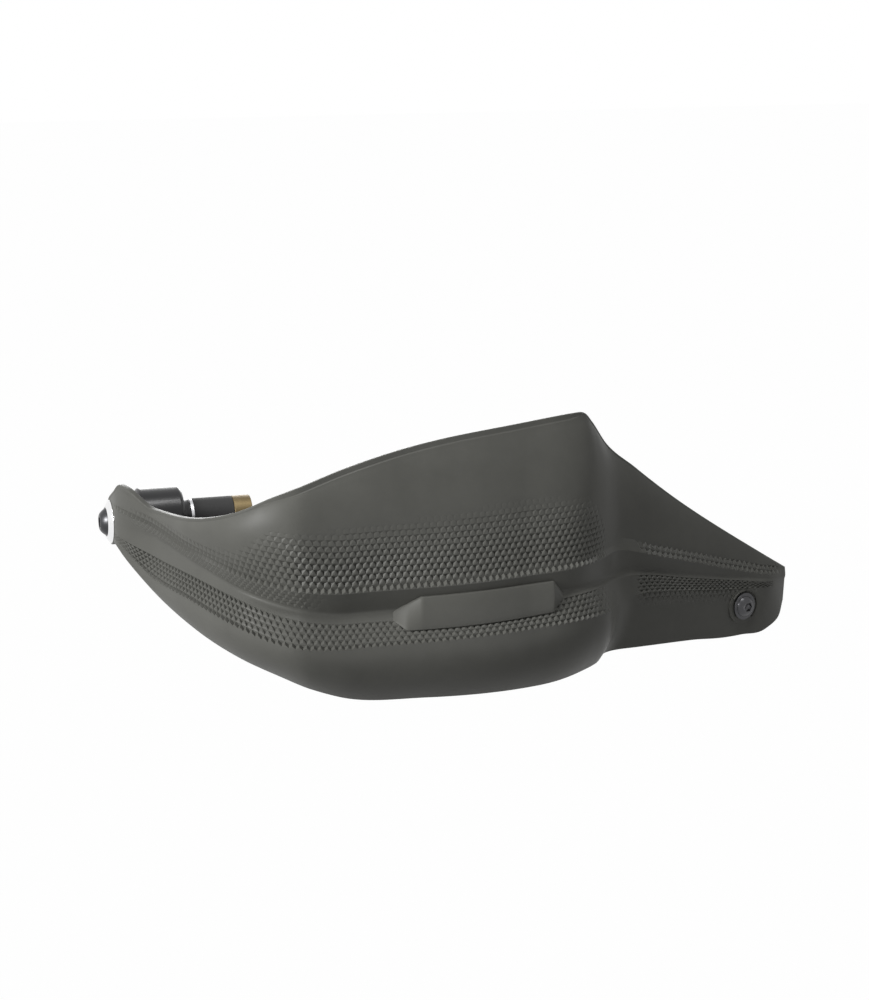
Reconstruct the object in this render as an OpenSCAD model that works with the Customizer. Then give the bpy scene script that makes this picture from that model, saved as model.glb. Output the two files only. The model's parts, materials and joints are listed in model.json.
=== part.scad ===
// Hand guard for the right-hand end of a 22 mm motorcycle handlebar.
// X runs along the bar axis towards the middle of the bike, Z is up, -Y points forward.
// The origin lies on the bar axis, at the end face of the bar tube. All sizes are in mm.

/* [Shell] */
// Wall of the moulded shell
wall = 3; // [2.5:0.25:4]
// How far the bead along the top rim stands out
bead_out = 1.2; // [0.5:0.1:1.8]
// Height of that bead
bead_h = 4.5; // [3.5:0.5:6]
// How far the blank front pad stands off the band below it
pad_out = 1.6; // [0.8:0.1:2.4]
// Depth of the flat recess round the arm screw
spot_depth = 0.8; // [0.4:0.1:1.2]
// Width of that recess beside the screw's flange
spot_margin = 1.3; // [0.6:0.1:2.4]
// Depth of the boss behind the arm screw, from the outer face
arm_boss_h = 6; // [5.5:0.25:8]
// Wall of that boss round the sleeve
arm_boss_wall = 4.4; // [3.5:0.1:6]
// How far the flat seats at the bar end stand off the moulded face
seat_proud = 0.1; // [0.05:0.05:0.3]
// Height of the arm screw below the bar axis
arm_drop = 48; // [46:0.5:50]
// Place of the arm screw along the bar
arm_hole_x = 270; // [266:0.5:274]

/* [Bar end] */
// Diameter of the bar-end weight
weight_d = 31; // [28:0.5:36]
// Length of the weight
weight_len = 22; // [18:0.5:26]
// Length of the weight's spigot inside the bar tube
spigot_len = 4; // [3:0.5:6]
// Diameter of the black spacer
spacer_d = 28; // [25:0.5:30]
// Length of the spacer
spacer_len = 9.5; // [7:0.5:12]
// Diameter of the conical ring where it lies on the shell
ring_d = 21.2; // [20:0.2:23]
// Diameter of the ring's outer face
ring_front_d = 15.8; // [15:0.1:17]
// Thickness of the ring
ring_h = 2.4; // [2:0.1:3.5]
// Thickness of the ring under the bolt head
ring_floor = 1; // [0.8:0.1:1.6]
// Diameter of the long bar-end bolt
end_bolt_d = 8; // [8:0.5:9]
// Head diameter of that bolt
end_head_d = 14; // [13:0.5:14.5]
// Head height of that bolt
end_head_h = 4.4; // [3.8:0.1:5]
// Inside diameter of the bar tube
tube_bore = 18; // [17.5:0.1:18.6]
// Length of the rubber bush in the tube
bush_len = 20; // [16:0.5:26]
// Length of the expander nut
cone_len = 9; // [8:0.5:12]

/* [Bar clamp] */
// Outer diameter of the handlebar
bar_d = 22.2; // [22:0.1:22.4]
// Place of the clamp's middle along the bar
clamp_x = 200; // [197:0.5:203]
// Width of the clamp along the bar
clamp_w = 20; // [18:0.5:24]
// Wall of the plastic liner
liner_wall = 1.4; // [1:0.1:2]
// Aluminium wall outside the liner
clamp_wall = 6; // [5:0.25:8]
// Gap between the two clamp halves
split_gap = 1.6; // [1:0.1:2.4]
// Thickness of the ears that the clamp bolts pull together
ear_h = 9; // [8:0.5:12]
// Distance from the bar axis to the bracket's seat
foot_reach = 26; // [25:0.5:30]
// Diameter of the clamp bolts
clamp_bolt_d = 6; // [5:0.5:6]

/* [Bracket] */
// Thickness of the bent steel strap
strap_t = 4; // [3:0.25:5]
// Width of the strap
strap_w = 22; // [20:0.5:24]
// Inner radius of its bends
bend_r = 4; // [3:0.5:5]
// Diameter of the bolt through the strap's foot
foot_bolt_d = 8; // [6:0.5:8]
// Diameter of the arm screw
arm_screw_d = 6; // [5:0.5:6]
// Flange diameter of the arm screw
arm_flange_d = 13.6; // [12:0.2:15]
// Wall of the steel sleeve round the arm screw
sleeve_wall = 1.4; // [1:0.1:2]
// Thickness of the rubber washer between shell and strap
rubber_t = 2; // [1:0.25:3]

/* [Hidden] */
$fn = 64;

// Clearance across a through hole, and off the wall of a tapped one
hole_clear = 0.4;
tap_clear = 0.1;
washer_t = 1.6;
edge = 0.8;
// How far the bent and the straight lengths of the strap run into each other
lap = 0.1;

// Bar end, measured outwards from the tube's end face
tab_in = weight_len + spacer_len;
tab_x = -(tab_in + seat_proud + wall);
tab_out = tab_in + wall + 2 * seat_proud;
end_bolt_seat = tab_out + ring_floor;
bush_from = spigot_len + washer_t;
cone_from = bush_from + bush_len;
plug_d = tube_bore - 0.6;

// Lines of the shell's outer face, from the top rim down to the bottom rim.
// Each row is the place along the guard, then x, y and z there.
rim = [[0, tab_x, 10.5, 4.5], [1.2, tab_x, 4, 11.5], [2.2, tab_x, -12, 18.5], [2.8, -33.5, -20, 22.5],
    [3.4, -31.5, -27, 22], [5, -22, -44, 15], [8, -11, -80, 18], [11, 3, -106, 25.5], [14, 20, -117, 34.5],
    [18, 55, -118, 46], [23, 94, -113, 54], [28, 139, -105, 58.5], [30.7, 169, -97.5, 60.5], [31.3, 175, -95, 60],
    [32, 180, -93, 55], [33, 188, -90, 44], [35, 205, -85, 30], [39, 238.5, -75, 5], [43, 285, -61, -25],
    [44, 299.5, -55.5, -34]];
ridge = [[0, tab_x, 10.5, 2.6], [1.2, tab_x, 4, 6], [2.4, tab_x, -11, 9], [5, -22.5, -41, 6], [8, -10.5, -76, 0.5],
    [11, 3.5, -107, -3.5], [14, 19, -121, -7], [18, 52, -128, -10.5], [28, 136, -125, -9.5], [31, 170, -117, -8.5],
    [32, 179.5, -110, -8], [33.2, 191, -99, -7.5], [34.2, 200, -95.5, -9], [35, 206, -94, -11],
    [39, 235.5, -85, -20], [42, 267.5, -72.5, -30], [43.4, 288.5, -65, -35.5], [44, 299, -57.5, -37]];
groove = [[0, tab_x, 10.5, 0.9], [1.2, tab_x, 4, 2.5], [2.4, tab_x, -11, 2.5], [5, -20, -39, 0], [8, -7.5, -73, -5.5],
    [11, 6.5, -103, -11], [14, 22, -117, -16], [18, 53, -123, -21.5], [28, 137, -121, -20.5], [31, 169.5, -113.5, -20],
    [32, 180, -106, -20], [33.2, 192, -95.5, -19.5], [34.2, 201.5, -91.5, -19], [35, 207.5, -90, -20],
    [39, 237, -82, -26.5], [42, 268, -71, -33.5], [43.4, 288.5, -65, -37], [44, 299, -57.5, -38.5]];
shelf = [[0, tab_x, 10.5, -0.8], [1.2, tab_x, 4, -2.5], [2.4, tab_x, -11, -3], [5, -20.5, -40, -9], [8, -8.5, -76, -11],
    [11, 5.5, -106, -15], [14, 20, -120, -19.5], [18, 52, -126, -25], [28, 136, -124, -24], [31, 169.5, -117, -21.5],
    [32, 179.5, -110, -21.5], [33.2, 191, -99, -21.5], [34.2, 201, -94.5, -21.5], [35, 207, -93, -22],
    [39, 236, -84, -28], [42, 267.5, -72.5, -34.5], [43.4, 288.5, -65.5, -38.5], [44, 298.5, -57.5, -40]];
lower = [[0, tab_x, 10.5, -2.6], [1.2, tab_x, 4, -5.5], [2.4, tab_x, -11, -6], [3.4, -31, -23, -10], [5, -24.5, -42, -17],
    [8, -13, -83, -20], [11, 1, -116, -25], [14, 17, -131, -30.5], [18, 49, -137, -34], [28, 136, -132, -33.5],
    [31, 170, -123, -33], [31.9, 180.5, -117, -33], [33.2, 192, -101.5, -33.5], [34.2, 201, -95.5, -31.5],
    [35, 207, -94, -31], [39, 236, -85, -34], [42, 267.5, -73, -38.5], [43.4, 288.5, -66, -40.5], [44, 298.5, -57.5, -42]];
hem = [[0, tab_x, 10.5, -4.5], [1.2, tab_x, 4, -8.5], [2.4, tab_x, -11, -8.5], [3.4, -32, -23, -13], [5, -24, -44, -23],
    [8, -10.5, -82, -34], [11, 5, -106, -42.5], [14, 23.5, -117, -50.5], [18, 52.5, -123, -61.5], [23, 91, -123, -64.5],
    [28, 139, -118, -65.5], [31, 168.5, -108.5, -63.5], [31.9, 179, -103.5, -61.5], [33.2, 188, -93.5, -59.5],
    [34.2, 196, -90, -59.5], [35, 206, -89, -59.5], [39, 238.5, -80.5, -61], [42.3, 270, -70.5, -63.5],
    [43.2, 285.5, -65.5, -63], [43.6, 294, -61, -59], [44, 298, -57.5, -51]];
lines = [rim, ridge, groove, shelf, lower, hem];

// How far the face above the ridge is drawn in, so that the ridge stands out as a narrow ledge
ledge = [[0, 0], [4, 0], [8, 0.6], [12, 1.2], [31, 1.4], [33, 1.2], [34.6, 2.4], [40, 2.2], [43.4, 1.2], [44, 0]];

// The arm's end goes along with the arm screw
arm_shift = (arm_hole_x - 270) * [1, 0.36, 0];
arm_share = [[0, 0], [35, 0], [39, 1], [44, 1]];

// Strength of the rim bead, fullness of the two big faces and of the front pad along the guard
bead_fade = [[0, 0], [9, 0], [15, 1], [30, 1], [31.6, 0], [44, 0]];
upper_full = [[0, 0], [3, 0], [8, 2], [14, 3.5], [28, 3.5], [31, 4.5], [33, 3.5], [35, 2], [44, 0]];
lower_full = [[0, 0], [3, 0], [8, 2], [14, 4], [18, 5], [28, 5], [31, 4], [33, 2], [35, 0], [44, 0]];
pad_fade = [[0, 0], [20.6, 0], [22.3, 1], [29.1, 1], [29.5, 0], [44, 0]];

// Places along the guard where the shell is cut into sections
columns = [0, 0.6, 1.2, 1.7, 2.2, 2.5, 2.8, 3.1, 3.4, 4, 4.6, 5.2, for (u = [6:0.8:20]) u, 20.6, 21.4, 22.3,
    for (u = [23.5:1.3:27.4]) u, 28.3, 29.1, 29.3, 29.5, 30, for (u = [30.5:0.3:35.3]) u, 36, 37.2, 38.6, 40, 41,
    42, 42.6, 43, 43.4, 43.6, 43.8, 44];

// The arm screw's seat, and the arm's angle to the bar
arm_a = at(lower, 39);
arm_b = at(lower, 43);
arm_yaw = atan2(arm_b[1] - arm_a[1], arm_b[0] - arm_a[0]);
arm_seat = [arm_hole_x, arm_a[1] + (arm_hole_x - arm_a[0]) * tan(arm_yaw), -arm_drop];
sleeve_d = arm_screw_d + hole_clear + 2 * sleeve_wall;
arm_hole_d = sleeve_d + hole_clear;
strap_front = arm_boss_h + rubber_t;
strap_back = strap_front + strap_t;
arm_nut_h = 5;
arm_screw_len = strap_back + washer_t + arm_nut_h + 1.2 - spot_depth;

// The strap's web stands square to the bar and joins a tilted foot to the arm's plate
bend_mid = bend_r + strap_t / 2;
web_x = arm_hole_x - 21;
plate_mid = strap_front + strap_t / 2;
plate_y = arm_seat[1] + plate_mid / cos(arm_yaw) + (web_x - arm_hole_x) * tan(arm_yaw);
arm_bend = bend_mid * tan((90 + arm_yaw) / 2);
clamp_tilt = atan2(arm_drop, -plate_y);
web_end = norm([plate_y, arm_drop]);

// Clamp
liner_r = bar_d / 2 + 0.05;
clamp_bore_r = liner_r + liner_wall;
clamp_r = clamp_bore_r + clamp_wall;
clamp_bolt_z = clamp_bore_r + 2.4 + clamp_bolt_d / 2;
ear_z = clamp_bolt_z + clamp_bolt_d / 2 + 3.4;
clamp_bolt_len = split_gap / 2 + ear_h + washer_t + ear_h;
foot_tap = foot_reach - clamp_bore_r - 1.4;
foot_bolt_len = strap_t + washer_t + foot_tap - 1;

// The smooth curve through a line's rows
function slope(t, i, k) = let (n = len(t) - 1,
    a = i > 0 ? t[i][0] - t[i - 1][0] : 1, b = i < n ? t[i + 1][0] - t[i][0] : 1,
    p = i > 0 ? (t[i][k] - t[i - 1][k]) / a : 0, q = i < n ? (t[i + 1][k] - t[i][k]) / b : 0)
    i == 0 ? q : i == n ? p : p * q <= 0 ? 0 : (p * b + q * a) / (a + b);
function row_before(t, u, i = 0) = i < len(t) - 2 && u > t[i + 1][0] ? row_before(t, u, i + 1) : i;
function curve(p, q, m, n, t) = (2 * t * t * t - 3 * t * t + 1) * p + (t * t * t - 2 * t * t + t) * m
    + (3 * t * t - 2 * t * t * t) * q + (t * t * t - t * t) * n;
function at(t, u) = let (i = row_before(t, u), h = t[i + 1][0] - t[i][0], f = (u - t[i][0]) / h)
    [for (k = [1:3]) curve(t[i][k], t[i + 1][k], slope(t, i, k) * h, slope(t, i + 1, k) * h, f)]
    + arm_shift * lookup(u, arm_share);

function unit(v) = v / norm(v);
function steps(n) = [for (i = [0:n]) i / n];

// The outer control points at a place, and the same points moved inwards by the wall
function outer_net(u) = [for (t = lines) at(t, u)];
function run(u) = [for (t = lines) unit(at(t, u + 0.1) - at(t, u - 0.1))];
function inner_net(u) = let (p = outer_net(u), r = run(min(max(u, 0.1), 43.9)), whole = 2 * unit(p[5] - p[0]),
    side = [for (i = [0:4]) unit(cross(r[i] + r[i + 1], p[i + 1] - p[i] + whole))])
    [for (i = [0:5]) let (a = side[max(i - 1, 0)], b = side[min(i, 4)]) p[i] + (a + b) * wall / max(1 + a * b, 1.2)];
function ahead(u) = let (a = at(ridge, u - 0.3) + at(lower, u - 0.3), b = at(ridge, u + 0.3) + at(lower, u + 0.3))
    unit([b[1] - a[1], a[0] - b[0], 0]);

// A rounded corner at b between a and c
function corner(a, b, c, r, n) = let (s = b + unit(a - b) * min(r, 0.42 * norm(b - a)),
    e = b + unit(c - b) * min(r, 0.42 * norm(c - b)))
    [for (t = steps(n)) (1 - t) * (1 - t) * s + 2 * t * (1 - t) * b + t * t * e];
// The upper face from a to b swells by full towards n, most of it above, and is drawn in by dent at the share low
function upper_face(a, b, n, full, dent, low) = [for (t = [0.28, 0.54, 0.8, 1] * low)
    a + (b - a) * t + n * (full * 4 * t * (1 - t) * (1.5 - t) - dent * t / low)];
function lower_face(a, b, n, full) = [for (t = [0.25, 0.5, 0.75]) a + (b - a) * t + n * full * 4 * t * (1 - t)];

// One section of the shell, top rim to bottom rim
function section(p, u, bead, pad) = let (n = ahead(u), down = unit(p[1] - p[0]), tall = norm(p[1] - p[0]),
    h = min(bead_h, 0.3 * tall), b = bead * lookup(u, bead_fade), w = lookup(u, pad_fade),
    c1 = corner(p[0], p[1], p[2], 1.6, 3), c2 = corner(p[1], p[2], p[3], 1.6, 2), c3 = corner(p[2], p[3], p[4], 1.2, 2),
    c4 = corner(p[3], p[4], p[5], 3, 4), top = p[0] + down * h * 1.12,
    low = 1 - min(3.5, 0.45 * tall) / tall, e1 = p[1] * 0.62 + p[2] * 0.38, e2 = p[3] * 0.55 + p[4] * 0.45, raised = [e1,
        e1 + n * (pad_out + 0.8), e1 * 0.6 + e2 * 0.4 + n * (pad_out + 2), e1 * 0.4 + e2 * 0.6 + n * (pad_out + 1.6),
        e2 + n * pad_out, e2 + (p[4] - e2) * 0.06],
    plain = concat(c2, c3), middle = pad ? [for (i = [0:5]) plain[i] * (1 - w) + raised[i] * w] : plain)
    concat([p[0] + n * b * 0.3, p[0] + down * h * 0.15 + n * b, p[0] + down * h + n * b, top],
        upper_face(top, c1[0], n, lookup(u, upper_full), lookup(u, ledge), low), c1, middle, c4,
        lower_face(c4[4], p[5], n, lookup(u, lower_full)), [p[5]]);

// Local +Z points away from the bike along the bar
module bar_end() {
    rotate([0, -90, 0]) children();
}

// Local +Z points out of the arm's face, with the face at zero
module at_arm() {
    translate(arm_seat) rotate([90, 0, arm_yaw]) children();
}

// Local -Y points from the bar axis to the strap's foot
module at_clamp() {
    translate([clamp_x, 0, 0]) rotate([clamp_tilt, 0, 0]) children();
}

module tube(d, bore, h) {
    difference() {
        cylinder(d = d, h = h);
        translate([0, 0, -1]) cylinder(d = bore, h = h + 2);
    }
}

// A round bar with both edges broken
module broken_edges(d, h, c) {
    cylinder(d1 = d - 2 * c, d2 = d, h = c);
    translate([0, 0, c]) cylinder(d = d, h = h - 2 * c);
    translate([0, 0, h - c]) cylinder(d1 = d, d2 = d - 2 * c, h = c);
}

// Screw with its head on +Z and its seat at zero
module dome_screw(d, length, head_d, head_h, key) {
    side = 0.14 * head_h;
    top_r = 0.27 * head_d;
    drop = (head_d * head_d / 4 + side * side - top_r * top_r - head_h * head_h) / (2 * (head_h - side));
    difference() {
        intersection() {
            cylinder(d = head_d, h = head_h);
            translate([0, 0, -drop]) sphere(r = norm([head_d / 2, side + drop]));
        }
        translate([0, 0, head_h * 0.4]) cylinder(d = key / cos(30), h = head_h, $fn = 6);
    }
    translate([0, 0, -length]) cylinder(d1 = d - 1.2, d2 = d, h = 0.6);
    translate([0, 0, 0.6 - length]) cylinder(d = d, h = length - 0.6);
}

module cap_screw(d, length) {
    difference() {
        union() {
            cylinder(d = 1.6 * d, h = d - 0.4);
            translate([0, 0, d - 0.4]) cylinder(d1 = 1.6 * d, d2 = 1.6 * d - 0.8, h = 0.4);
        }
        translate([0, 0, d / 2]) cylinder(d = 0.83 * d / cos(30), h = d, $fn = 6);
    }
    translate([0, 0, -length]) cylinder(d1 = d - 1.2, d2 = d, h = 0.6);
    translate([0, 0, 0.6 - length]) cylinder(d = d, h = length - 0.6);
}

// The lofted skin of the shell
module skin() {
    loops = [for (u = columns) concat(section(outer_net(u), u, bead_out, true), section(inner_net(u), u, 0, false))];
    m = len(loops[0]) / 2;
    n = len(columns);
    ring = concat([for (j = [0:m - 1]) j], [for (j = [m - 1:-1:0]) m + j]);
    size = 2 * m;
    sides = [for (i = [0:n - 2], j = [0:size - 1]) let (a = i * size + ring[j], b = i * size + ring[(j + 1) % size],
        c = b + size, d = a + size) each [[a, c, b], [a, d, c]]];
    first = [for (j = [0:m - 2]) each [[j, j + m + 1, j + m], [j, j + 1, j + m + 1]]];
    last = [for (j = [0:m - 2]) let (s = (n - 1) * size) each [[s + j, s + j + m, s + j + m + 1],
        [s + j, s + j + m + 1, s + j + 1]]];
    polyhedron(points = [for (q = loops) each q], faces = concat(sides, first, last), convexity = 8);
}

module guard_shell() {
    color([0.26, 0.26, 0.24]) difference() {
        union() {
            skin();
            bar_end() translate([0, 0, tab_in]) cylinder(d = ring_d + 1.2, h = tab_out - tab_in);
            at_arm() translate([0, 0, -arm_boss_h]) cylinder(d = arm_hole_d + 2 * arm_boss_wall, h = arm_boss_h - 0.2);
        }
        bar_end() translate([0, 0, tab_in - 1]) cylinder(d = end_bolt_d + hole_clear, h = wall + 3);
        bar_end() translate([0, 0, tab_out]) cylinder(d = ring_d + 1.2, h = 5);
        bar_end() translate([0, 0, tab_in - spacer_len]) cylinder(d = spacer_d + 1, h = spacer_len);
        at_arm() translate([0, 0, -arm_boss_h - 1]) cylinder(d = arm_hole_d, h = arm_boss_h + 4);
        at_arm() translate([0, 0, -spot_depth]) cylinder(d = arm_flange_d + 2 * spot_margin, h = 4);
    }
}

module end_ring() {
    color([0.86, 0.86, 0.86]) bar_end() translate([0, 0, tab_out]) difference() {
        union() {
            cylinder(d = ring_d, h = 0.4);
            translate([0, 0, 0.4]) cylinder(d1 = ring_d, d2 = ring_front_d, h = ring_h - 0.4);
        }
        translate([0, 0, -1]) cylinder(d = end_bolt_d + hole_clear, h = ring_h + 2);
        translate([0, 0, ring_floor]) cylinder(d = end_head_d + hole_clear, h = ring_h);
    }
}

module end_bolt() {
    color([0.16, 0.16, 0.17]) bar_end() translate([0, 0, end_bolt_seat])
        dome_screw(end_bolt_d, end_bolt_seat + cone_from + cone_len - 1, end_head_d, end_head_h, 5);
}

module end_spacer() {
    color([0.08, 0.08, 0.08]) bar_end() translate([0, 0, weight_len]) difference() {
        broken_edges(spacer_d, spacer_len, edge);
        translate([0, 0, -1]) cylinder(d = end_bolt_d + hole_clear, h = spacer_len + 2);
    }
}

module bar_end_weight() {
    color([0.12, 0.12, 0.13]) bar_end() difference() {
        union() {
            broken_edges(weight_d, weight_len, 1.4);
            translate([0, 0, -spigot_len]) cylinder(d = plug_d, h = spigot_len + 1);
        }
        translate([0, 0, -spigot_len - 1]) cylinder(d = end_bolt_d + hole_clear, h = spigot_len + weight_len + 2);
    }
}

module expander_washer() {
    color([0.6, 0.6, 0.62]) bar_end() translate([0, 0, -spigot_len - washer_t])
        tube(plug_d, end_bolt_d + hole_clear, washer_t);
}

module expander_bush() {
    color([0.05, 0.05, 0.05]) bar_end() translate([0, 0, -cone_from])
        tube(plug_d, end_bolt_d + 2 * hole_clear, bush_len);
}

module expander_nut() {
    color([0.72, 0.6, 0.3]) bar_end() translate([0, 0, -cone_from - cone_len])
        tube(plug_d, end_bolt_d + tap_clear, cone_len);
}

module arm_screw() {
    color([0.3, 0.3, 0.31]) at_arm() translate([0, 0, -spot_depth]) {
        cylinder(d = arm_flange_d, h = edge);
        translate([0, 0, edge]) dome_screw(arm_screw_d, arm_screw_len + edge, 0.77 * arm_flange_d, 2.7, 4);
    }
}

module arm_sleeve() {
    color([0.6, 0.6, 0.62]) at_arm() translate([0, 0, -arm_boss_h])
        tube(sleeve_d, arm_screw_d + hole_clear, arm_boss_h - spot_depth);
}

module arm_rubber() {
    color([0.05, 0.05, 0.05]) at_arm() translate([0, 0, -strap_front])
        tube(arm_hole_d + 2 * arm_boss_wall, arm_screw_d + 2 * hole_clear, rubber_t);
}

module arm_washer() {
    color([0.6, 0.6, 0.62]) at_arm() translate([0, 0, -strap_back - washer_t])
        tube(2 * arm_screw_d, arm_screw_d + hole_clear, washer_t);
}

module arm_nut() {
    color([0.6, 0.6, 0.62]) at_arm() translate([0, 0, -strap_back - washer_t - arm_nut_h]) difference() {
        union() {
            cylinder(d = 1.67 * arm_screw_d / cos(30), h = arm_nut_h, $fn = 6);
            translate([0, 0, arm_nut_h - 1.2]) cylinder(d = 2.1 * arm_screw_d, h = 1.2);
        }
        translate([0, 0, -1]) cylinder(d = arm_screw_d + tap_clear, h = arm_nut_h + 2);
    }
}

// A quarter or so of a bend in plan: centre, first angle and sweep
module bend_plan(c, from, sweep) {
    reach = 3 * (bend_mid + strap_t);
    translate(c) intersection() {
        difference() {
            circle(r = bend_mid + strap_t / 2);
            circle(r = bend_mid - strap_t / 2);
        }
        polygon([[0, 0], reach * [cos(from), sin(from)], reach * [cos(from + sweep / 2), sin(from + sweep / 2)],
            reach * [cos(from + sweep), sin(from + sweep)]]);
    }
}

// The foot and the web, seen along the strap's width, with the web running to -Y
module foot_plan() {
    foot_y = -foot_reach - strap_t;
    left = -clamp_w / 2 - 1;
    right = web_x - clamp_x;
    translate([left, foot_y]) square([right - bend_mid - left, strap_t]);
    bend_plan([right - bend_mid, foot_y + strap_t / 2 - bend_mid], 0, 90);
    translate([right - strap_t / 2, -web_end - 8]) square([strap_t, web_end + 8 + foot_y + strap_t / 2 - bend_mid]);
}

// The arm's plate and the last of the web, seen from above
module plate_plan() {
    turn = 90 + arm_yaw;
    c = [web_x + bend_mid, plate_y + arm_bend];
    translate([web_x - strap_t / 2, c[1]]) square([strap_t, bend_r]);
    bend_plan(c, 180, turn);
    start = c + bend_mid * [cos(180 + turn), sin(180 + turn)];
    tail = (arm_hole_x - web_x) / cos(arm_yaw) - plate_mid * tan(arm_yaw) - arm_bend + strap_w / 2;
    translate(start) rotate(arm_yaw) translate([-lap, -strap_t / 2]) square([tail + lap, strap_t]);
}

module bracket() {
    cut_y = plate_y + arm_bend;
    far = 2 * arm_hole_x;
    color([0.1, 0.1, 0.1]) difference() {
        union() {
            intersection() {
                at_clamp() linear_extrude(height = strap_w, center = true) foot_plan();
                translate([0, cut_y, -far / 2]) cube(far);
            }
            translate([0, 0, -arm_drop - strap_w / 2]) linear_extrude(height = strap_w) plate_plan();
        }
        at_arm() translate([0, 0, -strap_back - 1]) cylinder(d = arm_screw_d + hole_clear, h = strap_t + 2);
        at_clamp() rotate([90, 0, 0]) translate([0, 0, foot_reach - 1]) cylinder(d = foot_bolt_d + hole_clear, h = strap_t + 2);
    }
}

module foot_washer() {
    color([0.6, 0.6, 0.62]) at_clamp() rotate([90, 0, 0]) translate([0, 0, foot_reach + strap_t])
        tube(2 * foot_bolt_d, foot_bolt_d + hole_clear, washer_t);
}

module foot_bolt() {
    color([0.2, 0.2, 0.21]) at_clamp() rotate([90, 0, 0]) translate([0, 0, foot_reach + strap_t + washer_t])
        dome_screw(foot_bolt_d, foot_bolt_len, 1.75 * foot_bolt_d, 0.55 * foot_bolt_d, 0.625 * foot_bolt_d);
}

// Outline of the clamp round the bar, in the plane square to it, both halves together
module clamp_outline() {
    circle(r = clamp_r);
    translate([-split_gap / 2 - ear_h, -ear_z]) square([split_gap + 2 * ear_h, 2 * ear_z]);
}

module clamp_body() {
    color([0.1, 0.1, 0.1]) at_clamp() difference() {
        rotate([0, 90, 0]) linear_extrude(height = clamp_w, center = true) rotate(90) difference() {
            union() {
                intersection() {
                    clamp_outline();
                    translate([-60 - split_gap / 2, -60]) square([60, 120]);
                }
                translate([-foot_reach, -strap_w / 2]) square([foot_reach - clamp_bore_r, strap_w]);
            }
            circle(r = clamp_bore_r);
        }
        for (s = [-1, 1]) translate([0, 0, s * clamp_bolt_z]) rotate([90, 0, 0]) cylinder(d = clamp_bolt_d + tap_clear, h = 40);
        rotate([90, 0, 0]) translate([0, 0, foot_reach - foot_tap]) cylinder(d = foot_bolt_d + tap_clear, h = foot_tap + 1);
    }
}

module clamp_cap() {
    color([0.1, 0.1, 0.1]) at_clamp() difference() {
        rotate([0, 90, 0]) linear_extrude(height = clamp_w, center = true) rotate(90) difference() {
            intersection() {
                clamp_outline();
                translate([split_gap / 2, -60]) square([60, 120]);
            }
            circle(r = clamp_bore_r);
        }
        for (s = [-1, 1]) translate([0, 0, s * clamp_bolt_z]) rotate([-90, 0, 0]) cylinder(d = clamp_bolt_d + hole_clear, h = 40);
        for (s = [-1, 1]) translate([0, split_gap / 2 + ear_h, s * clamp_bolt_z]) rotate([-90, 0, 0])
            cylinder(d = 2 * clamp_bolt_d + hole_clear, h = 40);
    }
}

module clamp_liners() {
    color([0.2, 0.2, 0.2]) at_clamp() difference() {
        rotate([0, 90, 0]) translate([0, 0, -clamp_w / 2]) tube(2 * clamp_bore_r, 2 * liner_r, clamp_w);
        translate([-50, -split_gap / 2, -50]) cube([100, split_gap, 100]);
    }
}

module clamp_washers() {
    color([0.6, 0.6, 0.62]) at_clamp() for (s = [-1, 1])
        translate([0, split_gap / 2 + ear_h, s * clamp_bolt_z]) rotate([-90, 0, 0])
            tube(2 * clamp_bolt_d, clamp_bolt_d + hole_clear, washer_t);
}

module clamp_bolts() {
    color([0.2, 0.2, 0.21]) at_clamp() for (s = [-1, 1])
        translate([0, split_gap / 2 + ear_h + washer_t, s * clamp_bolt_z]) rotate([-90, 0, 0])
            cap_screw(clamp_bolt_d, clamp_bolt_len);
}

guard_shell();
end_ring();
end_bolt();
end_spacer();
bar_end_weight();
expander_washer();
expander_bush();
expander_nut();
arm_screw();
arm_sleeve();
arm_rubber();
arm_washer();
arm_nut();
bracket();
foot_washer();
foot_bolt();
clamp_body();
clamp_cap();
clamp_liners();
clamp_washers();
clamp_bolts();
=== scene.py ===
import json
import math

import bmesh
import bpy
import numpy as np
from mathutils import Matrix, Vector
from mathutils.bvhtree import BVHTree

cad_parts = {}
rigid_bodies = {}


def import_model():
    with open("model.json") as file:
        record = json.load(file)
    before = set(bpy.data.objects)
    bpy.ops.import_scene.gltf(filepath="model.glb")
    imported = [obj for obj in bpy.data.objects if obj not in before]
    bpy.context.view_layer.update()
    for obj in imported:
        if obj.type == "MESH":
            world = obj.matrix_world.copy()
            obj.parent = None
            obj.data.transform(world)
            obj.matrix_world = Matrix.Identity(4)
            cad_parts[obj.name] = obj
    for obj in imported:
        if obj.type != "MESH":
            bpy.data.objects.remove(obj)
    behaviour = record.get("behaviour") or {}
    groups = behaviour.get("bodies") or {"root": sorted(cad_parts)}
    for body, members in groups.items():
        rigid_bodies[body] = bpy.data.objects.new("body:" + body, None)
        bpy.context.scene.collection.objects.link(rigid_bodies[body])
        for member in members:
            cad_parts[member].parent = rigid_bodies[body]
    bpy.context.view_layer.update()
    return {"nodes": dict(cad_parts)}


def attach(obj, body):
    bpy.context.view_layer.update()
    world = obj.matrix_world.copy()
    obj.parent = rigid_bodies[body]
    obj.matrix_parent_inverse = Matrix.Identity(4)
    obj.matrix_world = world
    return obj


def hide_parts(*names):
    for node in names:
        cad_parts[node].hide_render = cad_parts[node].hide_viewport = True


for ob in list(bpy.data.objects):
    bpy.data.objects.remove(ob)
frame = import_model()
MM = 0.001

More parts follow.
